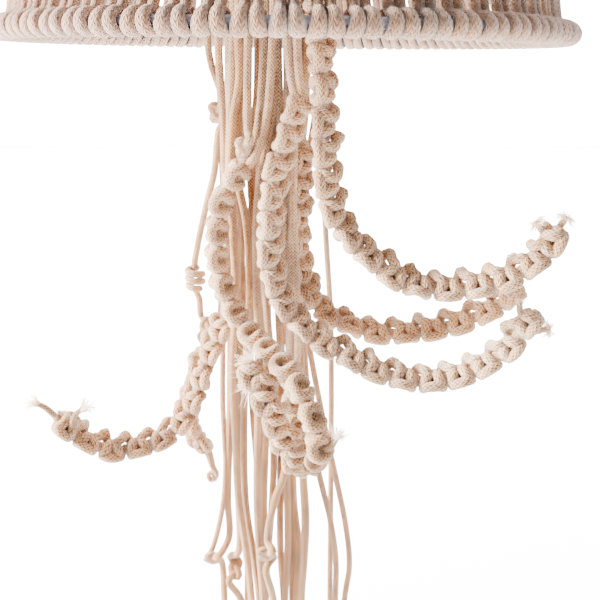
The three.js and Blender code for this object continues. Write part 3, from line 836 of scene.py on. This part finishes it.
def ring_paint():
    """Satin paint on the steel ring, a little uneven."""
    cord = bpy.context.scene.macrame_cord
    shader = Shader("ring_paint")
    cloud = shader.noise(shader.node("ShaderNodeTexCoord", output="Object"), RING_SCALE, 4.0)
    colour = tuple(cord.ring)
    worn = tuple(0.8 * part for part in colour)
    shader.set(
        Base_Color=shader.mix(cloud, worn, colour), Roughness=cloud * 0.2 + 0.35, Metallic=0.1,
        Normal=shader.bump(cloud, 0.1, RING_RELIEF))
    return shader.material


def dress(piece, slot, *nodes):
    """The piece moves with the one body and stands for the nodes, which it hides. The slot is not used."""
    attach(piece, "root")
    if nodes:
        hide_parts(*nodes)


def cord_width():
    """The cord's full width, in millimetres as the tables are."""
    return bpy.context.scene.macrame_cord.width / MM


def on_hoop(angle, side, out, up):
    """A place beside the hoop at an angle, from the middle of the hoop's own section."""
    tipped = RING_SAG + RING_RIGHT * math.cos(angle) + RING_BACK * math.sin(angle)
    height = up - tipped * (1 - min(1.0, max(0.0, up / BELL_HEIGHT)))
    return (*turned(HOOP_RADIUS + out, side, angle), height)


def hitched_cord(strands, pair, chance):
    """One cord: folded round the hoop in a lark's head, with both tails rising to the gather."""
    spread = chance.uniform(-HITCH_TURN_SPREAD, HITCH_TURN_SPREAD)
    angle = (pair + 0.5) * PAIR_ANGLE + HITCH_TURN + spread
    inwards = TAIL_LAYERS[(pair * LAYER_STRIDE) % len(TAIL_LAYERS)] - HOOP_RADIUS
    lift = chance.uniform(-HITCH_LIFT_SPREAD, HITCH_LIFT_SPREAD)
    hitch = even_line(smooth_line([
        (row["side"], row["out"] + lift, row["up"], row["wide"], row["deep"]) for row in HITCH
    ]), HITCH_STEP)
    width = cord_width()
    shoulder = (TAIL_SIDE, inwards, BELL_HEIGHT - TAIL_SHOULDER, width, width)
    top = (TAIL_SIDE, inwards - BOUND_DEPTH, BELL_HEIGHT + BOUND_LENGTH, BOUND_WIDTH, BOUND_WIDTH)
    steps = round((BELL_HEIGHT - HITCH[-1]["up"]) / TAIL_STEP)
    tail = np.linspace(hitch[-1], shoulder, steps)[1:]
    half = np.vstack([hitch, tail, top])
    other = half[::-1] * (-1, 1, 1, 1, 1)
    whole = np.vstack([other[:-1], half])
    line = np.array([on_hoop(angle, *row[:3]) for row in whole])
    tangent = np.array([-math.sin(angle), math.cos(angle), 0.0])
    flat = np.cross(directions(line), tangent)
    flat[np.linalg.norm(flat, axis=1) < FLAT_SIDE_SHARE] = (0, 0, 1)
    # A shade below 0 paints the shade of the bell on this cord.
    shade = chance.uniform(*BELL_SHADED_HITCHES)
    strands.add(line, whole[:, 3], whole[:, 4], flat=unit_rows(flat), shade=shade)


def packed_tops(feet):
    """Where the cords of the bundle leave the gather: drawn in from their places at the hoop, then
    pushed apart round after round, so that they lie side by side."""
    feet = np.array(feet, float)
    tops = feet - feet.mean(axis=0)
    tops *= BUNDLE_TOP_RADIUS / np.linalg.norm(tops, axis=1).max()
    for _ in range(PACKING_ROUNDS):
        for i in range(len(tops)):
            for j in range(i + 1, len(tops)):
                apart = tops[j] - tops[i]
                distance = np.linalg.norm(apart)
                if distance < BUNDLE_TOP_SPACING:
                    push = apart / max(distance, TINY) * (BUNDLE_TOP_SPACING - distance) / 2
                    tops[i] -= push
                    tops[j] += push
        reach = np.linalg.norm(tops, axis=1, keepdims=True)
        tops *= np.minimum(1.0, BUNDLE_TOP_RADIUS / np.maximum(reach, TINY))
    return tops


def bundle_tops():
    """Tops of the straight cords and then of the arms' cords, in the order of their tables."""
    feet = [row["at"][0][:2] for row in CORDS]
    for arm in ARMS:
        feet.extend(arm["feed"])
    return packed_tops(feet)


def overhand(size, turn):
    """The run of a cord through an overhand knot, about the knot's middle, from its top down."""
    t = np.linspace(-OVERHAND_SPAN, OVERHAND_SPAN, OVERHAND_STEPS)
    down = OVERHAND_HEIGHT * (t ** 3 - 3 * t)
    side = OVERHAND_WIDTH * (t ** 4 - 4 * t ** 2) + OVERHAND_SHIFT
    out = OVERHAND_DEPTH * (t ** 5 - 10 * t)
    return np.column_stack([*turned(side, out, math.radians(turn)), -down]) * size


def wrapped(size):
    """The run of a cord through a knot of wraps round itself, about the knot's middle."""
    t = np.linspace(0, 1, WRAPPED_STEPS)
    angle = t * WRAPPED_TURNS * 2 * math.pi
    reach = WRAPPED_REACH * np.minimum(1.0, np.minimum(t, 1 - t) * WRAPPED_LEAD)
    z = WRAPPED_HEIGHT / 2 - WRAPPED_HEIGHT * t
    return np.column_stack([reach * np.cos(angle), reach * np.sin(angle), z]) * size


def knotted_route(route, knots):
    """The whole route of a cord, with its knots worked in at their heights."""
    for kind, height, size, turn in knots:
        above = [p for p in route if p[2] > height]
        below = [p for p in route if p[2] <= height]
        upper, lower = above[-1], below[0]
        share = (upper[2] - height) / (upper[2] - lower[2])
        middle = upper + (lower - upper) * share
        run = overhand(size, turn) if kind == "overhand" else wrapped(size)
        room = abs(run[0][2]) + KNOT_ROOM
        above = [p for p in above if p[2] > height + room]
        below = [p for p in below if p[2] < height - room]
        route = above + [middle + step for step in run] + below
    return route


class ArmFrame:
    """Turns places given across, out and along a row of knots into places in space."""

    def __init__(self, arm):
        self.line = even_line(smooth_line(arm["line"]), ROW_STEP)
        self.along = directions(self.line)
        self.across = unit_rows(np.cross(np.broadcast_to(arm["thin"], self.line.shape), self.along))
        self.out = np.cross(self.along, self.across)
        self.run = lengths_along(self.line)
        self.length = self.run[-1]

    def pick(self, rows, along):
        return np.array([np.interp(along, self.run, column) for column in rows.T])

    def at(self, across, out, along):
        """A place in space. Past an end of the row it goes straight on."""
        inside = min(max(along, 0.0), self.length)
        place = self.pick(self.line, inside) + self.pick(self.across, inside) * across
        place = place + self.pick(self.out, inside) * out
        return place + self.pick(self.along, inside) * (along - inside)


def sinnet(arm, chance):
    """The routes of an arm's three cords through its row of square knots: front, back and core."""
    rows = ArmFrame(arm)
    knots = round(rows.length / KNOT_PITCH)
    pitch = rows.length / knots
    loops = arm["loops"]
    front, back = [], []
    for knot in range(knots + 1):
        turn = KNOT_ROLL + chance.uniform(-KNOT_TURN, KNOT_TURN)
        middle = knot * pitch + chance.uniform(-KNOT_SHIFT, KNOT_SHIFT)
        size = chance.uniform(*KNOT_SIZES)
        for table, route in ((FRONT_CORD, front), (BACK_CORD, back)):
            for place in table:
                across, out = turned(place["across"] * size, place["out"] * size, turn)
                route.append(rows.at(across * loops, out, middle + place["along"]))
        if knot < knots:
            reach = SIDE_LOOP_REACH * chance.uniform(*SIDE_LOOP_SIZES)
            sway = SIDE_LOOP_OUT + chance.uniform(-SIDE_LOOP_SWAY, SIDE_LOOP_SWAY)
            across, out = turned(reach, sway, turn)
            back.append(rows.at(across * loops, out, (knot + 0.5) * pitch))
    core = [rows.at(CORE_SIDE * loops, 0, along) for along in np.linspace(0, rows.length, knots * 2)]
    return rows, front, back, core


def build_arm(strands, frays, arm, tops, chance):
    """An arm's three cords, from the gather through its knots to their ends, and the fibres there."""
    rows, *routes = sinnet(arm, chance)
    above = rows.at(0, 0, -FEED_LEAD)
    widths = [cord_width() * FEED_SLIM, KNOT_CORD_WIDTH, KNOT_CORD_WIDTH, TAIL_WIDTH, TAIL_WIDTH * TAIL_SLIM]
    for number, route in enumerate(routes):
        end = arm["ends"][number]
        tail = [np.array(place, float) for place in end["route"]]
        start = np.array([*tops[number], BUNDLE_TOP])
        bend = np.array([*arm["feed"][number], arm["feed_height"]], float)
        feed = [start, bend, above + (*FEED_ENDS[number], 0)]
        if number == 0 and "feed_knot" in arm:
            feed = knotted_route(feed, [arm["feed_knot"]])
        line = even_line(smooth_line([*feed, *route, *tail]), ARM_STEP)
        run = lengths_along(line)
        first = lengths_along(np.array(feed))[-1]
        last = run[-1] - lengths_along(np.array([route[-1], *tail]))[-1]
        changes = [
            first - FEED_TAPER, first + FEED_TAPER,
            last - TAIL_TAPER_BEFORE, last + TAIL_TAPER_AFTER, run[-1],
        ]
        # The arm's shade paints shade as a straight cord's does, and differs a little at random.
        shade = arm["shade"] + chance.uniform(-ARM_SHADE_SPREAD, ARM_SHADE_SPREAD)
        strands.add(line, np.interp(run, changes, widths), shade=shade, sides=ARM_SIDES)
        fray(frays, tail[-2], tail[-1], FRAYS[end["fray"]], chance)


def fray(strands, neck, end, kind, chance):
    """Loose fibres where a cord end has opened: a brush when they spread little, or else a ball."""
    away = (end - neck) / np.linalg.norm(end - neck)
    across = unit_rows(np.cross(away, FRAY_SIDE))
    out = np.cross(away, across)
    for _ in range(kind["fibres"]):
        angle = chance.uniform(0, 2 * math.pi)
        lean = kind["spread"] * math.sqrt(chance.uniform(0.0, 1.0))
        reach = kind["length"] * chance.uniform(*FIBRE_LENGTHS)
        if chance.uniform() < kind["stray"]:
            reach *= FIBRE_STRAY
        sideways = across * math.cos(angle) + out * math.sin(angle)
        direction = away * math.cos(lean) + sideways * math.sin(lean)
        root = end - away * FIBRE_ROOT_DEPTH + sideways * chance.uniform(0.0, FIBRE_ROOT_SPREAD)
        bend = away * FIBRE_BEND_ALONG + direction * (1 - FIBRE_BEND_ALONG)
        middle = root + bend * reach * FIBRE_BEND
        tip = root + direction * reach + chance.uniform(-FIBRE_CURL, FIBRE_CURL, 3) * reach
        line = smooth_line([root, middle, tip])[::3]
        taper = np.linspace(1.0, FIBRE_TIP, len(line)) * kind["width"]
        strands.add(line, taper, sides=FIBRE_SIDES, shade=chance.uniform(*FIBRE_SHADES))


class MACRAME_OT_ring(bpy.types.Operator):
    """Bends the painted steel ring"""
    bl_idname = "macrame.ring"
    bl_label = "Ring"

    def execute(self, context):
        radius = HOOP_RADIUS * MM
        wire = (HOOP_HIGH.x - HOOP_LOW.x) / 2 - radius
        shape = bmesh.new()
        bmesh.ops.create_circle(shape, cap_ends=False, segments=RING_SIDES, radius=wire)
        bmesh.ops.rotate(shape, verts=shape.verts, cent=(0, 0, 0),
                         matrix=Vector((0, 1, 0)).rotation_difference(Vector((0, 0, 1))).to_matrix())
        bmesh.ops.translate(shape, verts=shape.verts, vec=(radius, 0, 0))
        bmesh.ops.spin(shape, geom=shape.verts[:] + shape.edges[:], cent=(0, 0, 0), axis=(0, 0, 1),
                       angle=2 * math.pi, steps=RING_STEPS, use_merge=True)
        tip = Vector((RING_RIGHT, RING_BACK, HOOP_RADIUS)).rotation_difference(Vector((0, 0, HOOP_RADIUS)))
        bmesh.ops.rotate(shape, verts=shape.verts, cent=(0, 0, 0), matrix=tip.inverted().to_matrix())
        bmesh.ops.translate(shape, verts=shape.verts, vec=HOOP_MIDDLE - Vector((0, 0, RING_SAG * MM)))
        bmesh.ops.recalc_face_normals(shape, faces=shape.faces)
        mesh = bpy.data.meshes.new("steel_ring")
        shape.to_mesh(mesh)
        shape.free()
        mesh.shade_smooth()
        mesh.materials.append(ring_paint())
        piece = bpy.data.objects.new("steel_ring", mesh)
        context.scene.collection.objects.link(piece)
        dress(piece, "ring_paint", "hoop")
        return {"FINISHED"}


class MACRAME_OT_hitched_cords(bpy.types.Operator):
    """Hitches the cords round the ring and leads their tails up to the gather"""
    bl_idname = "macrame.hitched_cords"
    bl_label = "Hitched cords"

    def execute(self, context):
        chance = np.random.default_rng(RANDOM_SEED)
        per_group = PAIRS // GROUPS
        for group in range(GROUPS):
            strands = Strands()
            for pair in range(group * per_group, (group + 1) * per_group):
                hitched_cord(strands, pair, chance)
            piece = strands.make(f"hitched_cords_{group + 1}", cotton())
            dress(piece, "cotton_cord", f"bell_cords_{group + 1}")
        return {"FINISHED"}


class MACRAME_OT_gather(bpy.types.Operator):
    """Binds the cords at the top and folds the crown over"""
    bl_idname = "macrame.gather"
    bl_label = "Gather and crown"

    def execute(self, context):
        chance = np.random.default_rng(RANDOM_SEED + 1)
        wraps = Strands()
        width = cord_width()
        share = np.linspace(0, 1, round(WRAP_TURNS * WRAP_STEPS))
        angle = share * WRAP_TURNS * 2 * math.pi
        line = np.column_stack([
            WRAP_RADIUS * np.cos(angle), WRAP_RADIUS * np.sin(angle),
            WRAP_BOTTOM + (WRAP_TOP - WRAP_BOTTOM) * share,
        ])
        outwards = unit_rows(line * (1, 1, 0))
        wraps.add(line, width + WRAP_SPREAD, width - WRAP_PRESS, flat=outwards, shade=WRAP_SHADE)
        dress(wraps.make("gather_wrap", cotton()), "cotton_cord")
        crown = Strands()
        for tier in CROWN_TIERS:
            for step in range(tier["cords"]):
                turn = 2 * math.pi * (step + chance.uniform(-CROWN_SWAY, CROWN_SWAY)) / tier["cords"]
                route = [
                    (r * math.cos(turn), r * math.sin(turn), z + chance.uniform(-CROWN_LIFT, CROWN_LIFT))
                    for r, z in tier["route"]
                ]
                crown.add(even_line(smooth_line(route), CROWN_STEP), width, shade=chance.uniform(0, 1))
        dress(crown.make("gather_crown", cotton()), "cotton_cord")
        return {"FINISHED"}


class MACRAME_OT_hanging_loop(bpy.types.Operator):
    """Twists two plies into the hanging loop"""
    bl_idname = "macrame.hanging_loop"
    bl_label = "Hanging loop"

    def execute(self, context):
        route = [(-LOOP_HALF_WIDTH, 0, LOOP_LEG_FOOT)]
        for turn in np.linspace(math.pi, 0, LOOP_ARC_PLACES):
            height = LOOP_ARC_HEIGHT + LOOP_HALF_WIDTH * math.sin(turn)
            route.append((LOOP_HALF_WIDTH * math.cos(turn), 0, height))
        route.append((LOOP_HALF_WIDTH, 0, LOOP_LEG_FOOT))
        middle = even_line(smooth_line(route), LOOP_STEP)
        along = directions(middle)
        across = np.broadcast_to((0.0, 1.0, 0.0), middle.shape)
        out = np.cross(along, across)
        angle = lengths_along(middle) * 2 * math.pi / PLY_TWIST
        strands = Strands()
        for start, shade in zip((0.0, math.pi), PLY_SHADES):
            offset = across * np.cos(angle + start)[:, None] + out * np.sin(angle + start)[:, None]
            strands.add(middle + offset * PLY_OFFSET, PLY_WIDTH, shade=shade)
        dress(strands.make("hanging_loop_rope", cotton()), "cotton_cord", "hanging_loop")
        return {"FINISHED"}


class MACRAME_OT_bundle(bpy.types.Operator):
    """Hangs the straight cords, with their knots"""
    bl_idname = "macrame.bundle"
    bl_label = "Bundle of cords"

    def execute(self, context):
        strands = Strands()
        for row, top in zip(CORDS, bundle_tops()):
            route = [np.array([*top, BUNDLE_TOP]), *np.array(row["at"], float)]
            route = knotted_route(route, row.get("knots", []))
            line = even_line(smooth_line(route), CORD_STEP)
            strands.add(line, cord_width() * row.get("slim", CORD_SLIM), shade=row["shade"])
        dress(strands.make("bundle_cords", cotton()), "cotton_cord", "gather_and_bundle")
        return {"FINISHED"}


class MACRAME_OT_arms(bpy.types.Operator):
    """Knots the arms and frays their ends"""
    bl_idname = "macrame.arms"
    bl_label = "Knotted arms"

    def execute(self, context):
        chance = np.random.default_rng(RANDOM_SEED + 3)
        tops = bundle_tops()[len(CORDS):].reshape(-1, ARM_CORDS, 2)
        for arm, arm_tops in zip(ARMS, tops):
            strands = Strands()
            frays = Strands()
            build_arm(strands, frays, arm, arm_tops, chance)
            dress(strands.make(f"knotted_{arm['name']}", cotton()), "cotton_cord", arm["name"])
            dress(frays.make(f"frayed_{arm['name']}", loose_yarn()), "cotton_cord")
        return {"FINISHED"}


class MACRAME_OT_stage(bpy.types.Operator):
    """Lays the plain floor, sets the soft light and places the camera"""
    bl_idname = "macrame.stage"
    bl_label = "Floor, light and camera"

    def execute(self, context):
        scene = context.scene
        stage = scene.macrame_stage
        floor_shape = bmesh.new()
        bmesh.ops.create_grid(floor_shape, x_segments=2, y_segments=2, size=FLOOR_HALF)
        bmesh.ops.translate(floor_shape, verts=floor_shape.verts, vec=(0, 0, LOWEST - stage.floor_drop))
        mesh = bpy.data.meshes.new("floor")
        floor_shape.to_mesh(mesh)
        floor_shape.free()
        floor = bpy.data.objects.new("floor", mesh)
        scene.collection.objects.link(floor)
        paint = Shader("floor_paint")
        cloud = paint.noise(paint.node("ShaderNodeTexCoord", output="Object"), FLOOR_SCALE, 2.0)
        colour = tuple(stage.floor_colour)
        duller = tuple(0.98 * part for part in colour)
        paint.set(Base_Color=paint.mix(cloud, duller, colour), Roughness=0.8)
        mesh.materials.append(paint.material)
        self.light(scene, stage)
        self.camera(scene)
        return {"FINISHED"}

    def light(self, scene, stage):
        world = bpy.data.worlds.new("studio")
        scene.world = world
        world.use_nodes = True
        sky = Shader(world=world)
        x, y, z = sky.split(sky.node("ShaderNodeTexCoord", output="Generated"))
        behind = sky.ramp(y, *BAND_BEHIND)
        level = sky.ramp(z.math("ABSOLUTE"), *BAND_LEVEL)
        middle = sky.ramp(x.math("ABSOLUTE"), *BAND_MIDDLE)
        glow = behind * level * middle * (stage.back_light - stage.room_light) + stage.room_light
        background = sky.tree.nodes["Background"]
        sky.tree.links.new(glow.socket, background.inputs["Strength"])
        background.inputs["Color"].default_value = (1, 1, 1, 1)
        over_floor = self.lamp("floor_light", FLOOR_LAMP, stage.floor_light)
        over_floor.data.spread = math.radians(FLOOR_LAMP_SPREAD)
        at_left = self.lamp("side_light", SIDE_LAMP, stage.side_light)
        aim = HOOP_MIDDLE - Vector((0, 0, SIDE_LAMP_DROP)) - at_left.location
        at_left.rotation_euler = aim.to_track_quat("-Z", "Y").to_euler()

    def lamp(self, name, table, energy):
        data = bpy.data.lights.new(name, "AREA")
        data.shape = "RECTANGLE"
        data.size = table["width"]
        data.size_y = table["height"]
        data.energy = energy
        lamp = bpy.data.objects.new(name, data)
        lamp.location = table["place"]
        bpy.context.scene.collection.objects.link(lamp)
        return lamp

    def camera(self, scene):
        data = bpy.data.cameras.new("camera")
        data.lens = 50
        data.sensor_width = 36
        camera = bpy.data.objects.new("camera", data)
        scene.collection.objects.link(camera)
        camera.location = CAMERA_PLACE * MM + HOOP_MIDDLE
        camera.rotation_euler = (math.radians(90 - CAMERA_DIP), 0, 0)
        scene.camera = camera


class MACRAME_PT_panel(bpy.types.Panel):
    """Shows the sizes and colours, and the steps that build the hanging"""
    bl_idname = "MACRAME_PT_panel"
    bl_label = "Macrame Hanging"
    bl_space_type = "VIEW_3D"
    bl_region_type = "UI"
    bl_category = "Macrame"

    def draw(self, context):
        for settings in (context.scene.macrame_cord, context.scene.macrame_stage):
            for name in settings.__annotations__:
                self.layout.prop(settings, name)
        for operator in STEPS:
            self.layout.operator(operator.bl_idname)


STEPS = (
    MACRAME_OT_stage,
    MACRAME_OT_ring,
    MACRAME_OT_hitched_cords,
    MACRAME_OT_gather,
    MACRAME_OT_hanging_loop,
    MACRAME_OT_bundle,
    MACRAME_OT_arms,
)
CLASSES = (MacrameCord, MacrameStage, *STEPS, MACRAME_PT_panel)


def register():
    for made in CLASSES:
        bpy.utils.register_class(made)
    bpy.types.Scene.macrame_cord = PointerProperty(type=MacrameCord)
    bpy.types.Scene.macrame_stage = PointerProperty(type=MacrameStage)


def unregister():
    del bpy.types.Scene.macrame_stage
    del bpy.types.Scene.macrame_cord
    for made in reversed(CLASSES):
        bpy.utils.unregister_class(made)


def main():
    register()
    bpy.ops.macrame.stage()
    bpy.ops.macrame.ring()
    bpy.ops.macrame.hitched_cords()
    bpy.ops.macrame.gather()
    bpy.ops.macrame.hanging_loop()
    bpy.ops.macrame.bundle()
    bpy.ops.macrame.arms()


if __name__ == "__main__":
    main()
